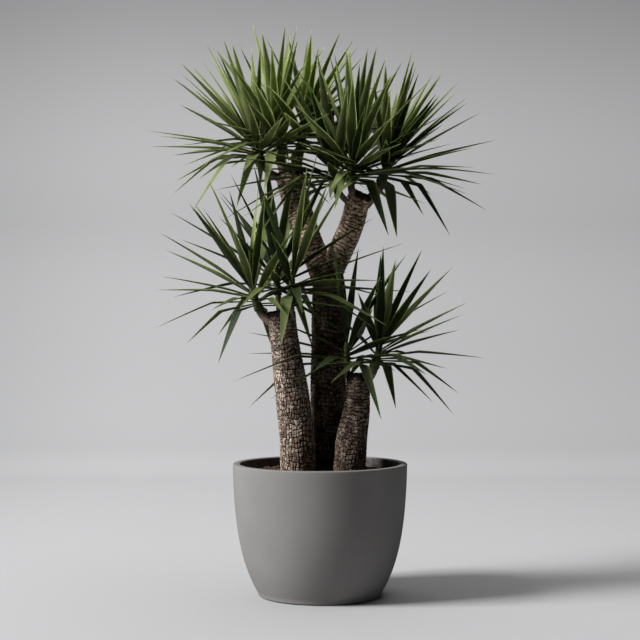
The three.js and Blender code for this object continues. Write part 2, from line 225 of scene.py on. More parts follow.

# Heads: girth is the shoot's radius, tone is how bright the leaves are painted, which stands
# in for the light and shade that fall on each head, root is where the shoot leaves the wood,
# seat is where it ends and the head begins, and lean is how far the head tips right and back
# for each unit of height
HEAD_TRAITS = (
    "name", "on", "girth", "leaves", "length", "turn", "seed", "tone", "root", "seat", "lean"
)
HEAD_ROWS = [
    ("top_left", "trunk", 0.010, 30, 0.305, 67, 551, 0.64,
     (-0.108, 0.088, 1.160), (-0.160, 0.080, 1.200), (-0.44, 0.02)),
    ("top_front", "trunk", 0.012, 27, 0.290, 255, 50, 0.70,
     (-0.094, 0.082, 1.160), (-0.115, 0.072, 1.230), (-0.12, 0.02)),
    ("top_right", "trunk", 0.011, 27, 0.300, 83, 34, 0.42,
     (-0.068, 0.098, 1.160), (-0.054, 0.108, 1.251), (0.16, 0.17)),
    ("fork_left", "trunk", 0.008, 27, 0.340, 211, 821, 0.20,
     (0.096, 0.026, 1.080), (0.050, 0.028, 1.128), (-0.23, 0.23)),
    ("fork_front", "trunk", 0.010, 27, 0.325, 164, 60, 0.28,
     (0.104, 0.012, 1.090), (0.086, -0.006, 1.136), (0.03, -0.34)),
    ("fork_right", "trunk", 0.013, 30, 0.305, 101, 470, 0.20,
     (0.126, 0.024, 1.086), (0.170, 0.028, 1.142), (0.37, 0.1)),
    ("low_left", "cane_left", 0.011, 30, 0.305, 316, 597, 0.22,
     (-0.124, -0.034, 0.75), (-0.166, -0.040, 0.788), (-0.39, -0.17)),
    ("low_back", "cane_left", 0.008, 27, 0.340, 302, 285, 0.05,
     (-0.110, -0.010, 0.765), (-0.116, 0.0, 0.829), (-0.07, 0.27)),
    ("low_right", "cane_left", 0.011, 27, 0.340, 128, 500, 0.11,
     (-0.088, -0.044, 0.735), (-0.079, -0.055, 0.817), (0.06, -0.18)),
    ("side_left", "cane_right", 0.008, 27, 0.325, 15, 980, 0.03,
     (0.086, -0.042, 0.590), (0.074, -0.042, 0.632), (-0.01, -0.12)),
    ("side_right", "cane_right", 0.012, 30, 0.295, 54, 418, 0.03,
     (0.116, -0.048, 0.585), (0.148, -0.050, 0.630), (0.27, -0.09)),
]
HEADS = [dict(zip(HEAD_TRAITS, row)) for row in HEAD_ROWS]

# Leaves
CORE_HEIGHT = 0.066
CORE_FLARE = 0.003
CORE_TOP_RADIUS = 0.006
CORE_GAP = 0.0004
CORE_SIDES = 16
CORE_RINGS = 6
FIRST_ROOT = 0.010
ROOT_SPAN = 0.055
LEAF_WIDTH = 0.028
LEAF_THICKNESS = 0.0016
# Depth of the channel as a share of the blade's width; it is deeper near the root
LEAF_CHANNEL = 0.18
CHANNEL_DEEPER = 1.6
CHANNEL_REACH = 0.08
LEAF_WIDEST = 0.42
LEAF_ROOT_WIDTH = 0.24
LEAF_SWELL = 1.8
LEAF_TAPER = 1.15
GOLDEN_TURN = 137.50776
YOUNG_LEAN = 5
OLD_LEAN = 132
LEAN_POWER = 1.3
LEAF_ARCH = 5
STIFF_LEAN = 83
STIFF_SAG = 0.3
UPRIGHT_TO = 75
UPRIGHT_SPAN = 40
LIMP_FROM = 138
LIMP_SPAN = 20
FOLD_SHARE = 0.42
LIMP_FOLD = 0.27
LIMP_SHORTER = 0.4
SIDE_ROLL = 8
YOUNG_ROLL = 26
LIMP_ROLL = 50
LEAF_CHANCES = dict(turn=8, lean=6, length=0.09, width=0.14, roll=1, start=5, fold=0.03)
CLEAR_TURNS = (0, 8, -8, 16, -16, 24, -24, 32, -32, 40, -40)
TIP_MATCH = 0.0005
FOLD_SOFTNESS = 0.014
LINE_STEPS = 6
CLASP = 0.30
CLASP_REACH = 0.02
EXTRA_SEED = 5000
EXTRA_TURNS = (0, 7, -7, 14, -14, 21, -21)
EXTRA_WIDTH = 0.85
EXTRA_LEAST_LEAN = 10
EXTRA_MOST_LEAN = 112
TONE_SPREAD = 1.0
CLEAR_FROM = 0.16
# Where a straight blade's cross sections lie along it; they crowd round the fold
BLADE_SHARES = (
    0, 0.04, 0.10, 0.18, 0.27, 0.36, 0.404, 0.42, 0.436, 0.50, 0.60, 0.71, 0.82, 0.92, 1
)

# Colours of the finishes
STONE_DEEP = (0.192, 0.185, 0.179)
STONE_PALE = (0.208, 0.201, 0.195)
STONE_SPECKLE = (0.100, 0.094, 0.088)
STONE_DUST = (0.045, 0.036, 0.030)
EARTH_BLACK = (0.018, 0.010, 0.007)
EARTH_BROWN = (0.070, 0.034, 0.020)
CRUMB_TAN = (0.150, 0.085, 0.050)
CHIP_RED = (0.130, 0.070, 0.040)
PLATE_BROWN = (0.205, 0.135, 0.095)
PLATE_TAN = (0.700, 0.590, 0.490)
BARK_STAIN = (0.130, 0.082, 0.054)
BARK_RUST = (0.210, 0.085, 0.042)
BARK_FIBRE = (0.060, 0.038, 0.026)
BARK_LINE = (0.040, 0.024, 0.015)
BARK_LIGHT = (0.780, 0.690, 0.600)
BARK_GRAIN = (0.030, 0.019, 0.013)
BARK_CRACK = (0.011, 0.007, 0.005)
WAX_BLACK = (0.013, 0.009, 0.008)
LIMB_PAINTED_LIGHT = (1.75, 1.55, 1.35)
PAINTED_SHADE_DARKENING = (0.20, 0.16, 0.12)
SKIN_BROWN = (0.150, 0.088, 0.062)
SKIN_TAN = (0.380, 0.275, 0.205)
SKIN_GREEN = (0.045, 0.055, 0.020)
SKIN_SCAR = (0.035, 0.017, 0.011)
LEAF_DEEP = (0.006, 0.013, 0.002)
LEAF_BRIGHT = (0.320, 0.385, 0.120)
LEAF_OLD = (0.012, 0.020, 0.006)
LEAF_MOTTLE = (0.012, 0.028, 0.006)
LEAF_LINE = (0.130, 0.205, 0.055)
LEAF_RIB = (0.190, 0.260, 0.090)
LEAF_MARGIN = (0.330, 0.370, 0.120)
LEAF_FOOT_SHADE = (0.010, 0.018, 0.004)
LEAF_ROOT = (0.060, 0.075, 0.024)
LEAF_TIP = (0.110, 0.060, 0.028)


def drawn_numbers(seed):
    """Evenly spread numbers from 0 to 1 that depend only on the seed."""
    state = seed
    count = 0
    while True:
        state = (state * 1664525 + 1013904223) % 2**32
        count += 1
        if count > 3:
            yield state / 2**32


def linked(mesh_bm, name, material, slot, *nodes):
    """Makes a finished piece of a bmesh: it rides on the root and stands for the named nodes."""
    mesh = bpy.data.meshes.new(name)
    mesh_bm.to_mesh(mesh)
    mesh_bm.free()
    mesh.materials.append(material)
    piece = bpy.data.objects.new(name, mesh)
    bpy.context.scene.collection.objects.link(piece)
    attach(piece, "root")
    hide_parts(*nodes)
    return piece


def shade_smooth(mesh_bm):
    for face in mesh_bm.faces:
        face.smooth = True


def clamp(value, low, high):
    return max(low, min(high, value))


def ease(low, high, value):
    """0 below low, 1 above high, and a soft rise between them."""
    share = clamp((value - low) / (high - low), 0.0, 1.0)
    return share * share * (3 - 2 * share)


def mixed(start, end, share):
    return start + (end - start) * share


# Materials

def new_material(name):
    """A material with only a Principled shader: the material, its tree and the shader."""
    material = bpy.data.materials.new(name)
    material.use_nodes = True
    tree = material.node_tree
    tree.nodes.clear()
    output = tree.nodes.new("ShaderNodeOutputMaterial")
    shader = tree.nodes.new("ShaderNodeBsdfPrincipled")
    tree.links.new(shader.outputs["BSDF"], output.inputs["Surface"])
    return material, tree, shader


def fill(tree, socket, value):
    """Links a socket to another one, or sets it to a plain value."""
    if isinstance(value, bpy.types.NodeSocket):
        tree.links.new(value, socket)
    else:
        socket.default_value = value


def add_node(tree, kind, inputs=None, **settings):
    """A node with its settings, and its inputs linked to sockets or set to values."""
    made = tree.nodes.new("ShaderNode" + kind)
    for setting, value in settings.items():
        setattr(made, setting, value)
    for key, value in (inputs or {}).items():
        fill(tree, made.inputs[key], value)
    return made


def calculated(tree, operation, first, second=0.0):
    """One arithmetic step on two numbers."""
    return add_node(tree, "Math", {0: first, 1: second}, operation=operation).outputs[0]


def product(tree, first, second):
    return calculated(tree, "MULTIPLY", first, second)


def ranged(tree, value, low, high, start=0.0, end=1.0):
    """The value's place between low and high, as a number from start to end with soft ends."""
    inputs = {"Value": value, "From Min": low, "From Max": high, "To Min": start, "To Max": end}
    return add_node(tree, "MapRange", inputs, interpolation_type="SMOOTHSTEP").outputs["Result"]


def blended(tree, share, first, second, blend_type="MIX"):
    """A mix of two colours, each of them a socket or three plain numbers."""
    made = tree.nodes.new("ShaderNodeMix")
    made.data_type = "RGBA"
    made.blend_type = blend_type
    fill(tree, made.inputs[0], share)
    for socket, colour in ((made.inputs[6], first), (made.inputs[7], second)):
        fill(tree, socket, (*colour, 1) if isinstance(colour, tuple) else colour)
    return made.outputs[2]


def laid_over(tree, under, colour, by, low, high, most=1.0):
    """Lays a colour over another where a number goes from low to high, up to a share of it."""
    return blended(tree, ranged(tree, by, low, high, 0.0, most), under, colour)


def noise_of(tree, vector, scale, detail=2.0, roughness=0.5):
    inputs = {"Vector": vector, "Scale": scale, "Detail": detail, "Roughness": roughness}
    return add_node(tree, "TexNoise", inputs).outputs["Fac"]


def attribute(tree, name):
    return add_node(tree, "Attribute", attribute_name=name).outputs["Fac"]


def object_place(tree):
    return add_node(tree, "TexCoord").outputs["Object"]


def split_up(tree, vector):
    """The sockets X, Y and Z of a vector."""
    return add_node(tree, "SeparateXYZ", {"Vector": vector}).outputs


def coat(tree, shader, colour, roughness, specular=0.5):
    """Gives the shader its colour, roughness and specular level, as sockets or plain values."""
    looks = {"Base Color": colour, "Roughness": roughness, "Specular IOR Level": specular}
    for key, value in looks.items():
        fill(tree, shader.inputs[key], value)


def raised(tree, shader, height, distance, strength=1.0):
    """Fine relief on the shader's normal."""
    made = add_node(tree, "Bump", {"Height": height, "Distance": distance, "Strength": strength})
    tree.links.new(made.outputs["Normal"], shader.inputs["Normal"])


def fibre_stone():
    """Matte warm grey of the planter: a fine speckle on a clouded ground, with dust inside."""
    material, tree, shader = new_material("fibre stone")
    place = object_place(tree)
    cloud = noise_of(tree, place, 7.0, 3.0)
    grain = noise_of(tree, place, 900.0, 2.0, 0.6)
    pits = noise_of(tree, place, 260.0, 3.0, 0.7)
    splashes = noise_of(tree, place, 75.0, 4.0, 0.7)
    ground = blended(tree, ranged(tree, cloud, 0.35, 0.65), STONE_DEEP, STONE_PALE)
    speckled = laid_over(tree, ground, STONE_SPECKLE, grain, 0.62, 0.74, 0.35)
    parts = split_up(tree, place)
    flat = add_node(tree, "CombineXYZ", {"X": parts["X"], "Y": parts["Y"]}).outputs["Vector"]
    out = add_node(tree, "VectorMath", {0: flat}, operation="LENGTH").outputs["Value"]
    wall = POT_RIM_RADIUS - POT_WALL
    inner = ranged(tree, out, wall + 0.001, wall - 0.0005)
    upper = ranged(tree, parts["Z"], SOIL_LEVEL - 0.05, SOIL_LEVEL - 0.04)
    splashed = ranged(tree, splashes, 0.35, 0.65, 0.35, 0.95)
    soiled = product(tree, product(tree, inner, upper), splashed)
    dusty = blended(tree, soiled, speckled, STONE_DUST)
    coat(tree, shader, dusty, ranged(tree, pits, 0.3, 0.7, 0.72, 0.86), 0.3)
    raised(tree, shader, pits, 0.0004, 0.35)
    return material


def compost():
    """Dark brown bark compost with paler and redder crumbs."""
    material, tree, shader = new_material("compost")
    place = object_place(tree)
    clods = noise_of(tree, place, 60.0, 4.0, 0.6)
    crumbs = noise_of(tree, place, 320.0, 3.0, 0.6)
    ground = blended(tree, ranged(tree, clods, 0.35, 0.7), EARTH_BLACK, EARTH_BROWN)
    crumbly = laid_over(tree, ground, CRUMB_TAN, crumbs, 0.5, 0.75, 0.6)
    chips = blended(tree, attribute(tree, "chip"), crumbly, CHIP_RED)
    coat(tree, shader, chips, 0.92, 0.25)
    raised(tree, shader, crumbs, 0.0015, 0.7)
    return material


def bark():
    """Weathered plates from pale tan to rusty brown, split by dark cracks, waxed at the tops, with
    painted shade low down and painted light on the limbs.
    """
    material, tree, shader = new_material("bark")
    place = object_place(tree)
    unrolled = add_node(tree, "Attribute", attribute_name="unrolled").outputs["Vector"]
    tall = add_node(tree, "Mapping", {"Vector": unrolled, "Scale": (1, 1, 0.22)}).outputs["Vector"]
    wide = add_node(tree, "Mapping", {"Vector": unrolled, "Scale": (0.3, 0.3, 1)}).outputs["Vector"]
    fibres = noise_of(tree, tall, 900.0, 3.0, 0.6)
    streaks = noise_of(tree, tall, 270.0, 3.0, 0.65)
    dashes = noise_of(tree, wide, 240.0, 2.0, 0.6)
    grain = noise_of(tree, place, 520.0, 3.0, 0.65)
    stain = noise_of(tree, place, 30.0, 4.0, 0.6)
    rust = noise_of(tree, place, 55.0, 3.0, 0.6)
    change = calculated(tree, "SUBTRACT", streaks, dashes)
    lines = calculated(tree, "ADD", dashes, product(tree, change, attribute(tree, "upright")))
    plates = blended(tree, attribute(tree, "plate"), PLATE_BROWN, PLATE_TAN)
    stained = laid_over(tree, plates, BARK_STAIN, stain, 0.46, 0.66, 0.75)
    rusty = laid_over(tree, stained, BARK_RUST, rust, 0.56, 0.68, 0.7)
    fibrous = laid_over(tree, rusty, BARK_FIBRE, fibres, 0.56, 0.36, 0.75)
    lined = laid_over(tree, fibrous, BARK_LINE, lines, 0.53, 0.40, 0.9)
    # Painted light: the limbs' bark is made paler and warmer
    warmed = blended(tree, attribute(tree, "pale"), lined, LIMB_PAINTED_LIGHT, "MULTIPLY")
    lit = laid_over(tree, warmed, BARK_LIGHT, lines, 0.57, 0.68, 0.6)
    grained = laid_over(tree, lit, BARK_GRAIN, grain, 0.45, 0.25, 0.7)
    whole = ranged(tree, attribute(tree, "crack"), 0.20, 0.85)
    split = blended(tree, whole, BARK_CRACK, grained)
    waxed = blended(tree, attribute(tree, "wax"), split, WAX_BLACK)
    # Painted shade on the lower trunk and the right cane, broken into patches
    patchy = ranged(tree, stain, 0.3, 0.6, 0.65, 1.0)
    painted_shade = product(tree, attribute(tree, "painted_shade"), patchy)
    shade_painted = blended(tree, painted_shade, waxed, PAINTED_SHADE_DARKENING, "MULTIPLY")
    coat(tree, shader, shade_painted, ranged(tree, grain, 0.3, 0.7, 0.78, 0.95), 0.2)
    raised(tree, shader, calculated(tree, "ADD", lines, grain), 0.0013, 0.8)
    return material


def shoot_skin():
    """Pinkish tan skin of the young shoots, darker in the ring scars and green near the leaves."""
    material, tree, shader = new_material("shoot skin")
    grain = noise_of(tree, object_place(tree), 300.0, 3.0, 0.6)
    skin = blended(tree, ranged(tree, grain, 0.3, 0.7), SKIN_BROWN, SKIN_TAN)
    green = laid_over(tree, skin, SKIN_GREEN, attribute(tree, "share"), 0.55, 0.85, 0.9)
    whole = ranged(tree, attribute(tree, "crack"), 0.1, 0.7)
    coat(tree, shader, blended(tree, whole, SKIN_SCAR, green), 0.7)
    raised(tree, shader, grain, 0.0006, 0.5)
    return material


def leaf_green():
    """Leathery green of the blades: painted shade towards the foot, paler at the rib and margin,
    finely lined.
    """
    material, tree, shader = new_material("leaf green")
    parts = split_up(tree, add_node(tree, "UVMap", uv_map="blade").outputs["UV"])
    doubled = product(tree, parts["X"], 2.0)
    aside = calculated(tree, "ABSOLUTE", calculated(tree, "SUBTRACT", doubled, 1.0))
    along = parts["Y"]
    tint = attribute(tree, "tint")
    drawn_out = {"X": product(tree, parts["X"], 46.0), "Y": along, "Z": tint}
    lines_place = add_node(tree, "CombineXYZ", drawn_out).outputs["Vector"]
    lines = noise_of(tree, lines_place, 1.0, 3.0, 0.6)
    patches = noise_of(tree, object_place(tree), 22.0, 2.0)
    # The tint carries each head's painted light and shade, with each leaf's own spread about it
    green = blended(tree, tint, LEAF_DEEP, LEAF_BRIGHT)
    older = laid_over(tree, green, LEAF_OLD, attribute(tree, "age"), 0.25, 0.6, 0.5)
    mottled = laid_over(tree, older, LEAF_MOTTLE, patches, 0.4, 0.7, 0.35)
    lined = laid_over(tree, mottled, LEAF_LINE, lines, 0.4, 0.7, 0.08)
    ribbed = laid_over(tree, lined, LEAF_RIB, aside, 0.10, 0.02, 0.12)
    edged = laid_over(tree, ribbed, LEAF_MARGIN, aside, 0.90, 0.97, 0.10)
    # Painted shade: each blade darkens towards its foot, inside the head
    foot_shaded = laid_over(tree, edged, LEAF_FOOT_SHADE, along, 0.55, 0.10, 0.65)
    rooted = laid_over(tree, foot_shaded, LEAF_ROOT, along, 0.14, 0.02, 0.6)
    tipped = laid_over(tree, rooted, LEAF_TIP, along, 0.965, 0.995, 0.9)
    coat(tree, shader, tipped, ranged(tree, lines, 0.3, 0.7, 0.56, 0.68), 0.28)
    shader.inputs["Subsurface Weight"].default_value = 0.35
    shader.inputs["Subsurface Radius"].default_value = (1.0, 1.2, 0.5)
    shader.inputs["Subsurface Scale"].default_value = 0.002
    raised(tree, shader, lines, 0.0005, 0.4)
    return material


def studio_paper():
    """Matte paper with painted shade high up, low on the wall and towards the left, and darker at
    the sides and in front, which lessens the light it throws back.
    """
    material, tree, shader = new_material("studio paper")
    place = object_place(tree)
    pale = PAPER_ALBEDO
    warm = (pale * 0.985, pale * 0.985, pale)
    dusk = (pale * 0.5, pale * 0.5, pale * 0.51)
    tone = blended(tree, noise_of(tree, place, 3.0), (pale, pale, pale * 1.015), warm)
    parts = split_up(tree, place)
    # Painted shade: the wall is darker high up, and a little darker low down
    high = ranged(tree, parts["Z"], *PAPER_HIGH_SHADE)
    above = ranged(tree, parts["Z"], *WALL_FOOT)
    below = ranged(tree, parts["Z"], *WALL_MIDDLE)
    low = product(tree, product(tree, above, below), WALL_LOW_SHADE_SHARE)
    dimmed = blended(tree, low, blended(tree, high, tone, dusk), dusk)
    beside = ranged(tree, calculated(tree, "ABSOLUTE", parts["X"]), *PAPER_SIDES)
    before = ranged(tree, parts["Y"], *PAPER_FRONT)
    beyond = product(tree, calculated(tree, "MAXIMUM", beside, before), PAPER_EDGE_SHARE)
    pooled = blended(tree, beyond, dimmed, PAPER_DARK)
    # Painted shade towards the left of the sweep
    left = ranged(tree, parts["X"], *PAPER_LEFT_SHADE, 0.0, PAPER_LEFT_SHADE_SHARE)
    coat(tree, shader, blended(tree, left, pooled, PAPER_DARK), 0.9, 0.1)
    return material


# Planter and compost

def pot_radius(height):
    down = 1 - height / POT_HEIGHT
    return POT_RIM_RADIUS - POT_TAPER * down**POT_TAPER_POWER - POT_TUCK * down**POT_TUCK_POWER


def spun(profile, sides):
    """Turns a profile of (radius, height) points once round the upright axis."""
    made = bmesh.new()
    points = [made.verts.new((radius, 0, height)) for radius, height in profile]
    for lower, upper in zip(points, points[1:]):
        made.edges.new((lower, upper))
    bmesh.ops.spin(
        made, geom=made.verts[:] + made.edges[:], cent=(0, 0, 0), axis=(0, 0, 1),
        angle=math.tau, steps=sides, use_merge=True
    )
    bmesh.ops.remove_doubles(made, verts=made.verts, dist=1e-6)
    bmesh.ops.recalc_face_normals(made, faces=made.faces)
    return made


def inner_wall(top):
    """The planter's inner wall from its floor up to a height, as (radius, height) points."""
    heights = [mixed(POT_FLOOR, top, i / POT_STEPS) for i in range(POT_STEPS + 1)]
    return [(pot_radius(height) - POT_WALL, height) for height in heights]


def round_edge(centre_radius, centre_height, size, start, end):
    """Points on a quarter round, from one angle to another."""
    turns = [mixed(start, end, i / EDGE_STEPS) for i in range(EDGE_STEPS + 1)]
    return [(centre_radius + size * math.cos(a), centre_height + size * math.sin(a)) for a in turns]


def make_planter():
    foot = POT_FOOT_EDGE
    lip = POT_LIP_EDGE
    foot_radius = pot_radius(foot) - foot
    lip_foot = POT_HEIGHT - lip
    profile = [(0, 0), (foot_radius * 0.5, 0)]
    profile += round_edge(foot_radius, foot, foot, -math.pi / 2, 0)
    heights = [mixed(foot, lip_foot, i / POT_STEPS) for i in range(1, POT_STEPS)]
    profile += [(pot_radius(height), height) for height in heights]
    profile += round_edge(POT_RIM_RADIUS - lip, lip_foot, lip, 0, math.pi / 2)
    profile += round_edge(POT_RIM_RADIUS - POT_WALL + lip, lip_foot, lip, math.pi / 2, math.pi)
    profile += inner_wall(POT_HEIGHT - lip * 2)[::-1]
    profile += [(0, POT_FLOOR)]
    made = spun(profile, POT_SIDES)
    shade_smooth(made)
    linked(made, "planter", fibre_stone(), "pot_clay", "pot")


def soil_height(x, y, edge):
    """Height of the compost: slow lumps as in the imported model, with finer crumbs on them."""
    out = min(1.0, math.hypot(x, y) / edge)
    wide, deep, small = LUMP_SPANS
    lumps = math.sin(x / wide + 1.3) * math.cos(y / deep) + 0.6 * math.sin((x + y) / small)
    crumbs = noise.fractal(Vector((x, y, 0)) / CRUMB_SIZE, 0.9, 2.1, 3)
    slow = SOIL_LEVEL + SOIL_MOUND * (1 - out**2) + SOIL_LUMP * lumps * (1 - out**4)
    return slow + CRUMB_RISE * crumbs


def blank_of(made):
    """A shape kept as a mesh, to be copied into larger ones."""
    mesh = bpy.data.meshes.new("blank")
    made.to_mesh(mesh)
    made.free()
    return mesh


def copied_in(made, blank):
    """Adds a copy of a kept shape to a larger one, and gives the copy's corners."""
    first = len(made.verts)
    made.from_mesh(blank)
    made.verts.ensure_lookup_table()
    return made.verts[first:]


def add_chip(made, blank, size, place, draws, chip_layer):
    """A flat, uneven splinter of bark that lies on the compost."""
    corners = copied_in(made, blank)
    spans = (CHIP_LENGTHS, CHIP_WIDTHS, CHIP_HEIGHTS)
    shape = Vector([size * mixed(*span, next(draws)) for span in spans])
    for corner in corners:
        ragged = Vector([mixed(*CHIP_RAGGED, next(draws)) for _ in range(3)])
        corner.co = Vector(a * b * c for a, b, c in zip(corner.co, shape, ragged))
    tilt = mixed(-CHIP_TILT, CHIP_TILT, next(draws))
    turned = Euler((0, tilt, next(draws) * math.tau)).to_matrix()
    tone = next(draws)
    for corner in corners:
        corner.co = turned @ corner.co + place
        corner[chip_layer] = tone


def make_compost():
    side = [(radius - SIDE_GAP, height) for radius, height in inner_wall(SOIL_LEVEL)]
    edge = side[-1][0]
    top = [(edge * i / SOIL_RINGS, SOIL_LEVEL) for i in range(SOIL_RINGS - 1, -1, -1)]
    made = spun([(0, POT_FLOOR + FLOOR_GAP)] + side + top, SOIL_SIDES)
    for vert in made.verts:
        if vert.co.z > SOIL_LEVEL - 1e-5:
            vert.co.z = soil_height(vert.co.x, vert.co.y, edge)
    earth = compost()
    linked(made, "compost", earth, "soil", "soil")
    linked(scattered_chips(edge), "bark_chips", earth, "soil", "soil")


def scattered_chips(edge):
    """Splinters of bark strewn over the compost."""
    made = bmesh.new()
    chip_layer = made.verts.layers.float.new("chip")
    cube = bmesh.new()
    bmesh.ops.create_cube(cube, size=1.0)
    blank = blank_of(cube)
    draws = drawn_numbers(CHIP_SEED)
    for _ in range(CHIP_COUNT):
        out = edge * CHIP_REACH * math.sqrt(next(draws))
        turn = math.tau * next(draws)
        x, y = out * math.cos(turn), out * math.sin(turn)
        size = CHIP_SIZE * mixed(*CHIP_SIZES, next(draws) ** 2)
        place = Vector((x, y, soil_height(x, y, edge) + size * 0.1))
        add_chip(made, blank, size, place, draws, chip_layer)
    bpy.data.meshes.remove(blank)
    return made


# Wood

def smooth_line(stations):
    """A smooth line through stations: place, direction and radius at a share, and its length."""
    points = [Vector(station) for station in stations]
    ends = [points[0] * 2 - points[1]] + points + [points[-1] * 2 - points[-2]]
    fine = []
    for a, b, c, d in zip(ends, ends[1:], ends[2:], ends[3:]):
        for step in range(WOOD_LINE_STEPS):
            t = step / WOOD_LINE_STEPS
            bend = b * 2 + (c - a) * t
            bend += (a * 2 - b * 5 + c * 4 - d) * t**2
            bend += (b * 3 - a - c * 3 + d) * t**3
            fine.append(bend * 0.5)
    fine.append(points[-1])
    reached = [0.0]
    for a, b in zip(fine, fine[1:]):
        reached.append(reached[-1] + (b.xyz - a.xyz).length)
    length = reached[-1]

    def at(share):
        wanted = clamp(share, 0.0, 1.0) * length
        low, high = 0, len(fine) - 2
        while low < high:
            middle = (low + high + 1) // 2
            if reached[middle] <= wanted:
                low = middle
            else:
                high = middle - 1
        part = (wanted - reached[low]) / max(reached[low + 1] - reached[low], 1e-9)
        here = fine[low].lerp(fine[low + 1], part)
        return here.xyz, (fine[low + 1].xyz - fine[low].xyz).normalized(), here.w

    return at, length


def across(along):
    """Directions across a line: one to the right of it and one to the back."""
    side = Vector((0, 1, 0)).cross(along).normalized()
    return side, along.cross(side)


def outward(side, deep, turn):
    """The direction out of a round piece at a turn about its line."""
    return side * math.cos(turn) + deep * math.sin(turn)


def tube_blank(sides, rings):
    """A closed tube round Z, 1 high and 1 in radius, cut into rings."""
    made = bmesh.new()
    bmesh.ops.create_cone(
        made, cap_ends=True, cap_tris=False, segments=sides, radius1=1, radius2=1, depth=1
    )
    upright = [e for e in made.edges if abs(e.verts[0].co.z - e.verts[1].co.z) > 0.5]
    bmesh.ops.subdivide_edges(made, edges=upright, cuts=rings - 1)
    bmesh.ops.translate(made, verts=made.verts, vec=(0, 0, 0.5))
    return made


def hashed(*numbers):
    """A steady number from 0 to 1 for a set of whole numbers."""
    total = sum(number * factor for number, factor in zip(numbers, (127.1, 311.7, 74.7, 19.3)))
    wave = math.sin(total) * 43758.5453
    return wave - math.floor(wave)


def groove(part, half):
    """0 at a crack's middle and 1 away from it, where part runs from one crack to the next."""
    return ease(0.0, half, min(part, 1 - part))


def bark_relief(turn, rise, girth, blocks, count, seed):
    """Height of the bark from 0 in a crack to 1 on a plate, and the plate's own tone."""
    here = Vector((math.cos(turn) * girth + seed, math.sin(turn) * girth, rise))
    level_line = rise / RING_PITCH / (1 + TALL_PLATES * blocks)
    level_line += (RING_WANDER * noise.noise(here * RING_WAVES)
                   + RING_TREMBLE * noise.noise(here * RING_TREMBLE_WAVES))
    round_about = Vector((math.cos(turn), math.sin(turn), rise * 9 + seed))
    drift = CRACK_DRIFT * noise.noise(round_about * 1.3)
    drift += CRACK_TREMBLE * noise.noise(here * CRACK_TREMBLE_WAVES)
    slip = (1 - blocks) * (hashed(math.floor(level_line), seed) - 0.5)
    column = turn / math.tau * count + drift + slip
    split = math.floor(column)
    lane = column - split
    split %= count
    row = level_line + STAGGER * blocks * hashed(split, seed)
    ring = math.floor(row)
    nearer = split if lane < 0.5 else split + 1
    upright_chance = noise.noise(Vector((nearer * 3.7, rise * 38, seed)))
    upright_open = ease(*UPRIGHT_OPEN, upright_chance + blocks - 0.55)
    level_chance = noise.noise(Vector((split * 2.3, ring * 1.9, seed)))
    level_open = ease(*LEVEL_OPEN, level_chance + 0.85 - blocks)
    upright_width = GROOVE_SHARE * mixed(*UPRIGHT_WIDTHS, hashed(split, ring, seed))
    level_width = GROOVE_SHARE * mixed(*LEVEL_WIDTHS, hashed(ring, split, seed + 5))
    upright = (1 - groove(lane, upright_width)) * upright_open
    level = (1 - groove(row - ring, level_width)) * mixed(LEVEL_LEAST, 1.0, level_open)
    return (1 - upright) * (1 - level), hashed(split, ring, seed + 3)


def wax_share(below, out, place):
    """How far wax covers the bark at a depth below the sawn top, from which it has run unevenly."""
    drip = WAX_BAND * (0.75 + 0.8 * noise.noise(out * 2.5 + place * 20))
    return 1 - ease(drip * 0.6, drip * 1.3, below)


def bark_tube(stations, foot, blocks, seed, cell, waxed=True, painted_shade=0.0, pale=0.0):
    """A barked length of wood along a line, closed at both ends, with a sawn top."""
    if foot is not None:
        x, y, _, girth = stations[0]
        stations = [(x, y, foot, girth)] + list(stations)
    line, length = smooth_line(stations)
    widest = max(station[3] for station in stations)
    rings = round(length / cell)
    count = round(math.tau * widest / PLATE_WIDTH)
    made = tube_blank(round(math.tau * widest / cell), rings)
    kinds = ("crack", "plate", "wax", "painted_shade", "upright", "pale")
    layers = {kind: made.verts.layers.float.new(kind) for kind in kinds}
    unrolled = made.verts.layers.float_vector.new("unrolled")
    levels = [(*line(i / rings), i / rings) for i in range(rings + 1)]
    levels = [(place, *across(along), girth, share) for place, along, girth, share in levels]
    for vert in made.verts:
        turn = math.atan2(vert.co.y, vert.co.x)
        place, side, deep, girth, share = levels[round(vert.co.z * rings)]
        out = outward(side, deep, turn)
        rise = share * length
        below = length - rise
        blocky = mixed(*blocks, share)
        height, tone = bark_relief(turn, rise, girth, blocky, count, seed)
        melt = wax_share(below, out, place) if waxed else 0.0
        swell = math.sin(3 * turn + seed + share * 9) + 0.6 * math.sin(5 * turn - share * 17)
        rough = BARK_ROUGH * noise.noise((place + out * girth) * BARK_ROUGH_WAVES)
        relief = mixed(height, 0.75, melt * 0.5)
        reach = girth * (1 + OUT_OF_ROUND * swell) + BARK_DEPTH * (relief - 0.7) + rough
        if waxed and below < RIM_ROUNDING:
            near = 1 - below / RIM_ROUNDING
            reach -= RIM_ROUNDING * 0.6 * near**2
            place = place + Vector((0, 0, RIM_RAGGED)) * noise.noise(out * 7 + place) * near
        vert.co = place + out * reach
        vert[layers["crack"]] = height
        # Painted light makes the limbs' plates paler
        vert[layers["plate"]] = mixed(tone, 1.0, pale)
        vert[layers["pale"]] = pale
        vert[layers["wax"]] = melt
        vert[layers["upright"]] = ease(*LINES_UPRIGHT, blocky)
        vert[unrolled] = (math.cos(turn) * girth + seed, math.sin(turn) * girth, rise)
        # Painted shade on the lower wood, fading out with height
        vert[layers["painted_shade"]] = painted_shade * (1 - ease(PAINTED_SHADE_TO, PAINTED_SHADE_TO + PAINTED_SHADE_SPAN, place.z))
    finish_sawn_top(made, line, layers)
    shade_smooth(made)
    return made


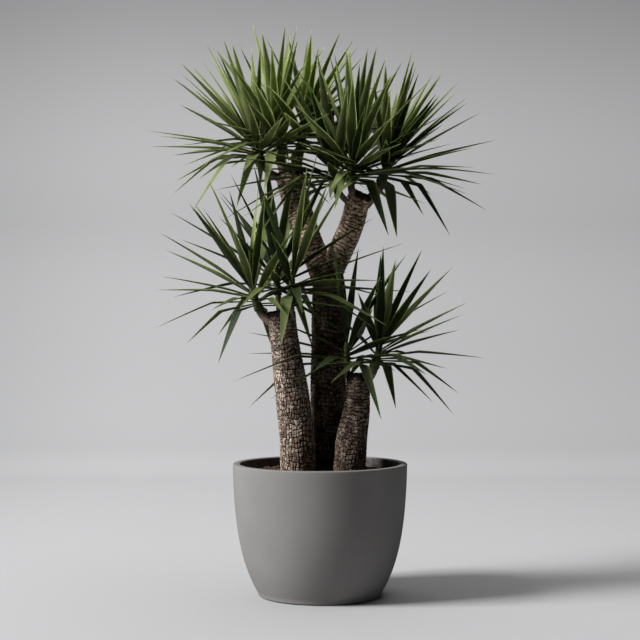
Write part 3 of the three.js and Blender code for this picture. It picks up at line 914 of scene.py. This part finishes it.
def finish_sawn_top(made, line, layers):
    """Cuts rings into the flat sawn top, which dips a little, and covers them with wax."""
    _, along, girth = line(1.0)
    # Only the two ends have more than four corners
    caps = [face for face in made.faces if len(face.verts) > 4]
    top = max(caps, key=lambda cap: cap.calc_center_median().z)
    for rise, width in SAWN_STEPS:
        bmesh.ops.inset_individual(made, faces=[top], thickness=girth * width, depth=rise)
        for vert in top.verts:
            vert.co += along * SAWN_UNEVEN * noise.noise(vert.co * SAWN_WAVES)
            vert[layers["wax"]] = 1.0
            vert[layers["crack"]] = 0.6


def gathered(parts):
    """Several closed shapes that run into each other, as one mesh."""
    whole = bmesh.new()
    for part in parts:
        mesh = blank_of(part)
        whole.from_mesh(mesh)
        bpy.data.meshes.remove(mesh)
    return whole


def make_woods():
    skin = bark()
    left = bark_tube(CANE_LEFT, BARK_FOOT, LEFT_BLOCKS, seed=1, cell=CANE_CELL)
    linked(left, "cane_left_bark", skin, "bark", "cane_left")
    # The right cane carries painted shade
    right = bark_tube(CANE_RIGHT, BARK_FOOT, RIGHT_BLOCKS, seed=7, cell=CANE_CELL, painted_shade=RIGHT_PAINTED_SHADE)
    linked(right, "cane_right_bark", skin, "bark", "cane_right")
    # The trunk carries painted shade low down
    shared = dict(cell=TRUNK_CELL, painted_shade=TRUNK_PAINTED_SHADE)
    parts = [bark_tube(TRUNK, BARK_FOOT, TRUNK_BLOCKS, seed=13, waxed=False, **shared)]
    for limb, seed in ((LIMB_LEFT, 19), (LIMB_RIGHT, 29)):
        # The limbs carry painted light
        parts.append(bark_tube(limb, None, LIMB_BLOCKS, seed, pale=LIMB_PAINTED_LIGHT_SHARE, **shared))
    linked(gathered(parts), "trunk_bark", skin, "bark", "trunk")


def head_axis(head):
    return Vector((*head["lean"], 1)).normalized()


def add_shoot(made, head, layers):
    """A short ringed shoot that curves out of the wood and ends square to its head's axis."""
    root, seat = Vector(head["root"]), Vector(head["seat"])
    length = (seat - root).length
    control = seat - head_axis(head) * 0.5 * length
    blank = blank_of(tube_blank(SHOOT_SIDES, SHOOT_RINGS))
    for vert in copied_in(made, blank):
        share = vert.co.z
        turn = math.atan2(vert.co.y, vert.co.x)
        place = root.lerp(control, share).lerp(control.lerp(seat, share), share)
        along = ((control - root) * (1 - share) + (seat - control) * share).normalized()
        out = outward(*across(along), turn)
        here = place + out * head["girth"]
        row = share * length / SHOOT_SCAR_PITCH + 0.5 * noise.noise(here * 60)
        scar = groove(row - math.floor(row), SHOOT_SCAR_GROOVE)
        collar = 1 + SHOOT_COLLAR * (1 - share) ** 4
        vert.co = place + out * (head["girth"] * collar + SHOOT_SCAR_RISE * (scar - 0.6))
        vert[layers["crack"]] = scar
        vert[layers["share"]] = share
    bpy.data.meshes.remove(blank)


def make_shoots():
    skin = shoot_skin()
    for node in WOODS:
        made = bmesh.new()
        layers = {key: made.verts.layers.float.new(key) for key in ("crack", "share")}
        for head in HEADS:
            if head["on"] == node:
                add_shoot(made, head, layers)
        shade_smooth(made)
        linked(made, node + "_shoots", skin, "bark", node)


# Leaves

def leaf_chances(seed, count):
    """What chance gives each leaf of a head."""
    draws = drawn_numbers(seed)
    return [
        {trait: (2 * next(draws) - 1) * span for trait, span in LEAF_CHANCES.items()}
        for _ in range(count)
    ]


def leaf_course(head, index, chance, clear_turn):
    """One leaf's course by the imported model's rule: young ones stand, old ones fold and hang."""
    young = (index + 0.5) / head["leaves"]
    turn = math.radians(head["turn"] + index * GOLDEN_TURN + chance["turn"] + clear_turn)
    aged = YOUNG_LEAN + (OLD_LEAN - YOUNG_LEAN) * (1 - young) ** LEAN_POWER
    lean = math.radians(max(2, aged + chance["lean"]))
    axis = head_axis(head)
    right = Vector((0, 1, 0)).cross(axis).normalized()
    back = axis.cross(right)
    aim = axis * math.cos(lean) + (right * math.cos(turn) + back * math.sin(turn)) * math.sin(lean)
    end = math.degrees(math.acos(aim.z))
    upright = clamp((UPRIGHT_TO - end) / UPRIGHT_SPAN, 0, 1)
    limp = clamp((end - LIMP_FROM) / LIMP_SPAN, 0, 1)
    looseness = SIDE_ROLL + (YOUNG_ROLL - SIDE_ROLL) * upright + (LIMP_ROLL - SIDE_ROLL) * limp
    return dict(
        root=Vector(head["seat"]) + axis * (FIRST_ROOT + ROOT_SPAN * young),
        heading=Vector((aim.x, aim.y, 0)).normalized(),
        start=min(end, STIFF_LEAN + STIFF_SAG * (end - STIFF_LEAN) + chance["start"]),
        end=end,
        fold=FOLD_SHARE + chance["fold"] - LIMP_FOLD * limp,
        length=head["length"] * (1 + chance["length"]) * (1 - LIMP_SHORTER * limp),
        width=LEAF_WIDTH * (1 + chance["width"]),
        roll=math.radians(chance["roll"] * looseness),
        young=young,
    )


def direction(course, lean):
    return course["heading"] * math.sin(lean) + Vector((0, 0, 1)) * math.cos(lean)


def packed_tip(course):
    """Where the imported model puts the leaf's tip, at the end of its three straight stretches."""
    shares = (0, course["fold"], (1 + course["fold"]) / 2, 1)
    place = course["root"].copy()
    for i in range(1, 4):
        middle = (shares[i - 1] + shares[i]) / 2
        lean = math.radians((course["start"] if i == 1 else course["end"]) + LEAF_ARCH * middle)
        place += direction(course, lean) * course["length"] * (shares[i] - shares[i - 1])
    return place


def packed_courses(head):
    """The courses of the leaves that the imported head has, each found by its tip."""
    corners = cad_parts["head_" + head["name"]].data.vertices
    tips = KDTree(len(corners))
    for corner in corners:
        tips.insert(corner.co, corner.index)
    tips.balance()
    courses = []
    for index, chance in enumerate(leaf_chances(head["seed"], head["leaves"])):
        tried = [leaf_course(head, index, chance, turn) for turn in CLEAR_TURNS]
        misses = [tips.find(packed_tip(course))[2] for course in tried]
        if min(misses) < TIP_MATCH:
            courses.append(tried[misses.index(min(misses))])
    return courses


def leaf_width(share):
    """Width of a leaf at a share of its length, as a share of its widest."""
    clasp = CLASP * math.exp(-share / CLASP_REACH)
    if share < LEAF_WIDEST:
        rising = math.sin(math.pi / 2 * share / LEAF_WIDEST) ** LEAF_SWELL
        return LEAF_ROOT_WIDTH + (1 - LEAF_ROOT_WIDTH) * rising + clasp
    return 1 - ((share - LEAF_WIDEST) / (1 - LEAF_WIDEST)) ** LEAF_TAPER


def make_blade_blank():
    """A blade before it is bent: a closed bar with sharp margins, cut where its sections lie."""
    made = bmesh.new()
    bmesh.ops.create_cone(
        made, cap_ends=True, cap_tris=False, segments=4, radius1=1, radius2=1, depth=1
    )
    bmesh.ops.translate(made, verts=made.verts, vec=(0, 0, 0.5))
    for share in BLADE_SHARES[1:-1]:
        whole = made.verts[:] + made.edges[:] + made.faces[:]
        bmesh.ops.bisect_plane(made, geom=whole, plane_co=(0, 0, share), plane_no=(0, 0, 1))
    bmesh.ops.recalc_face_normals(made, faces=made.faces)
    shade_smooth(made)
    layer = made.loops.layers.uv.new("blade")
    for face in made.faces:
        for loop in face.loops:
            loop[layer].uv = (0.5 + 0.5 * loop.vert.co.x, loop.vert.co.z)
    for edge in made.edges:
        edge.smooth = not all(abs(vert.co.x) > 0.5 for vert in edge.verts)
    return blank_of(made)


def blade_shares(course):
    """The shares of a blade's length at which its sections lie, moved along with its own fold."""
    below = course["fold"] / FOLD_SHARE
    above = (1 - course["fold"]) / (1 - FOLD_SHARE)
    return [
        share * below if share <= FOLD_SHARE else 1 - (1 - share) * above
        for share in BLADE_SHARES
    ]


def lean_at(course, share):
    """Degrees from upright at a share of a blade's length, where its fold is rounded a little."""
    folded = ease(course["fold"] - FOLD_SOFTNESS, course["fold"] + FOLD_SOFTNESS, share)
    return mixed(course["start"], course["end"], folded) + LEAF_ARCH * share


def centre_line(course):
    """Shares, places and directions along a blade at its sections: straight, with one fold."""
    place = course["root"].copy()
    line = []
    before = 0.0
    for share in blade_shares(course):
        stretch = course["length"] * (share - before) / LINE_STEPS
        for step in range(LINE_STEPS):
            lean = math.radians(lean_at(course, mixed(before, share, (step + 0.5) / LINE_STEPS)))
            place = place + direction(course, lean) * stretch
        line.append((share, place, direction(course, math.radians(lean_at(course, share)))))
        before = share
    return line


def corner_of(place):
    """A blank's corner as the number of its section and its sides, right or left and up or down."""
    section = min(range(len(BLADE_SHARES)), key=lambda i: abs(BLADE_SHARES[i] - place.z))
    return section, round(place.x), round(place.y)


def blade_points(course, blank):
    """Bends the blank's corners along a course; each is its section's number and its sides."""
    flat = Vector((-course["heading"].y, course["heading"].x, 0))
    sections = []
    for share, place, along in centre_line(course):
        side = Matrix.Rotation(course["roll"], 3, along) @ flat
        deep = along.cross(side)
        half = course["width"] / 2 * leaf_width(share)
        thick = LEAF_THICKNESS / 2 * (1 - share**4)
        channel = LEAF_CHANNEL * (1 + CHANNEL_DEEPER * math.exp(-share / CHANNEL_REACH))
        sections.append((place, side * half, deep * 2 * channel * half, deep * thick))
    points = []
    for section, right, up in blank:
        place, reach, channel, thick = sections[section]
        points.append(place + reach * right + channel * abs(right) + thick * up)
    return points


def make_heads():
    blank = make_blade_blank()
    clear = [
        tuple(face.vertices) for face in blank.polygons
        if min(blank.vertices[corner].co.z for corner in face.vertices) > CLEAR_FROM
    ]
    corners = [corner_of(vertex.co) for vertex in blank.vertices]
    green = leaf_green()
    courses = {head["name"]: packed_courses(head) for head in HEADS}
    add_extra_courses(courses, corners, clear)
    for head in HEADS:
        made = bmesh.new()
        tint = made.verts.layers.float.new("tint")
        age = made.verts.layers.float.new("age")
        made.loops.layers.uv.new("blade")
        draws = drawn_numbers(head["seed"] + 11)
        add_core(made, head)
        for course in courses[head["name"]]:
            # Each head's tone is painted light and shade; the spread about it is the leaves' own
            # variation
            tone = clamp(head["tone"] + TONE_SPREAD * (next(draws) - 0.5), 0.0, 1.0)
            for vert, point in zip(copied_in(made, blank), blade_points(course, corners)):
                vert.co = point
                vert[tint] = tone
                vert[age] = 1 - course["young"]
        linked(made, "leaves_" + head["name"], green, "leaf", "head_" + head["name"])
    bpy.data.meshes.remove(blank)


def add_core(made, head):
    """The stem inside a head, which the leaf roots cover."""
    axis = head_axis(head)
    side, deep = across(axis)
    blank = blank_of(tube_blank(CORE_SIDES, CORE_RINGS))
    for vert in copied_in(made, blank):
        share = vert.co.z
        reach = mixed(head["girth"] + CORE_FLARE, CORE_TOP_RADIUS, share)
        turn = math.atan2(vert.co.y, vert.co.x)
        place = Vector(head["seat"]) + axis * (share * CORE_HEIGHT + CORE_GAP)
        vert.co = place + outward(side, deep, turn) * reach
    bpy.data.meshes.remove(blank)
    shade_smooth(made)


def blade_tree(course, corners, clear):
    """A blade's search tree, without the crowded part at its root."""
    return BVHTree.FromPolygons(blade_points(course, corners), clear)


def wood_trees():
    """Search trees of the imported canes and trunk."""
    trees = []
    for node in WOODS:
        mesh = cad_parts[node].data
        points = [vertex.co.copy() for vertex in mesh.vertices]
        trees.append(BVHTree.FromPolygons(points, [tuple(face.vertices) for face in mesh.polygons]))
    return trees


def add_extra_courses(courses, corners, clear):
    """Adds thin leaves to the trunk's heads, each at the first turn where it crosses nothing."""
    taken = wood_trees()
    for head in HEADS:
        taken += [blade_tree(course, corners, clear) for course in courses[head["name"]]]
    for head in HEADS:
        if head["on"] != "trunk":
            continue
        chances = leaf_chances(head["seed"] + EXTRA_SEED, head["leaves"] - 1)
        for index, chance in enumerate(chances):
            for turn in EXTRA_TURNS:
                course = leaf_course(head, index + 0.5, chance, turn)
                if not EXTRA_LEAST_LEAN < course["end"] < EXTRA_MOST_LEAN:
                    break
                course["width"] *= EXTRA_WIDTH
                blade = blade_tree(course, corners, clear)
                if not any(blade.overlap(other) for other in taken):
                    taken.append(blade)
                    courses[head["name"]].append(course)
                    break


# Studio

def make_studio():
    """A pale seamless sweep of paper: a floor that bends up into a wall."""
    sweep = bmesh.new()
    profile = [(-SWEEP_REACH, 0.0), (BEND_START, 0.0)]
    for i in range(1, BEND_STEPS + 1):
        turn = math.pi / 2 * i / BEND_STEPS
        level = BEND_RADIUS * (1 - math.cos(turn))
        profile.append((BEND_START + BEND_RADIUS * math.sin(turn), level))
    profile.append((BEND_START + BEND_RADIUS, WALL_TOP))
    points = [sweep.verts.new((-SWEEP_REACH, y, z)) for y, z in profile]
    for a, b in zip(points, points[1:]):
        sweep.edges.new((a, b))
    pulled = bmesh.ops.extrude_edge_only(sweep, edges=sweep.edges[:])["geom"]
    moved = [item for item in pulled if isinstance(item, bmesh.types.BMVert)]
    bmesh.ops.translate(sweep, verts=moved, vec=(SWEEP_REACH * 2, 0, 0))
    bmesh.ops.recalc_face_normals(sweep, faces=sweep.faces)
    shade_smooth(sweep)
    mesh = blank_of(sweep)
    mesh.materials.append(studio_paper())
    backdrop = bpy.data.objects.new("sweep", mesh)
    backdrop.visible_glossy = False
    bpy.context.scene.collection.objects.link(backdrop)


def add_light(name, place, aim, size, power):
    """A square soft light that faces a point."""
    lamp = bpy.data.lights.new(name, "AREA")
    lamp.shape = "RECTANGLE"
    lamp.size = size
    lamp.size_y = size
    lamp.energy = power
    holder = bpy.data.objects.new(name, lamp)
    holder.location = place
    holder.rotation_mode = "QUATERNION"
    holder.rotation_quaternion = (Vector(aim) - Vector(place)).to_track_quat("-Z", "Y")
    bpy.context.scene.collection.objects.link(holder)


def light_studio():
    """A soft key light from the left and a little from the front, and a dim wide one overhead."""
    turn = math.radians(KEY_TURN)
    rise = math.radians(KEY_RISE)
    level = KEY_DISTANCE * math.cos(rise)
    height = KEY_DISTANCE * math.sin(rise)
    place = Vector(KEY_AIM) + Vector((-level * math.sin(turn), -level * math.cos(turn), height))
    add_light("key", place, KEY_AIM, KEY_SIZE, KEY_POWER)
    below = (*OVERHEAD_PLACE[:2], 0)
    add_light("overhead", OVERHEAD_PLACE, below, OVERHEAD_SIZE, OVERHEAD_POWER)
    world = bpy.data.worlds.new("studio air")
    world.use_nodes = True
    air = world.node_tree.nodes["Background"]
    air.inputs["Color"].default_value = AIR_COLOUR
    air.inputs["Strength"].default_value = AIR_STRENGTH
    bpy.context.scene.world = world


def place_camera():
    lens = bpy.data.cameras.new("camera")
    lens.lens = LENS_MM
    lens.sensor_width = SENSOR_MM
    camera = bpy.data.objects.new("camera", lens)
    camera.location = CAMERA_PLACE
    camera.rotation_euler = (math.pi / 2, 0, 0)
    bpy.context.scene.collection.objects.link(camera)
    bpy.context.scene.camera = camera


place_camera()
light_studio()
make_studio()
make_planter()
make_compost()
make_woods()
make_shoots()
make_heads()
bpy.context.scene.view_settings.view_transform = "Standard"
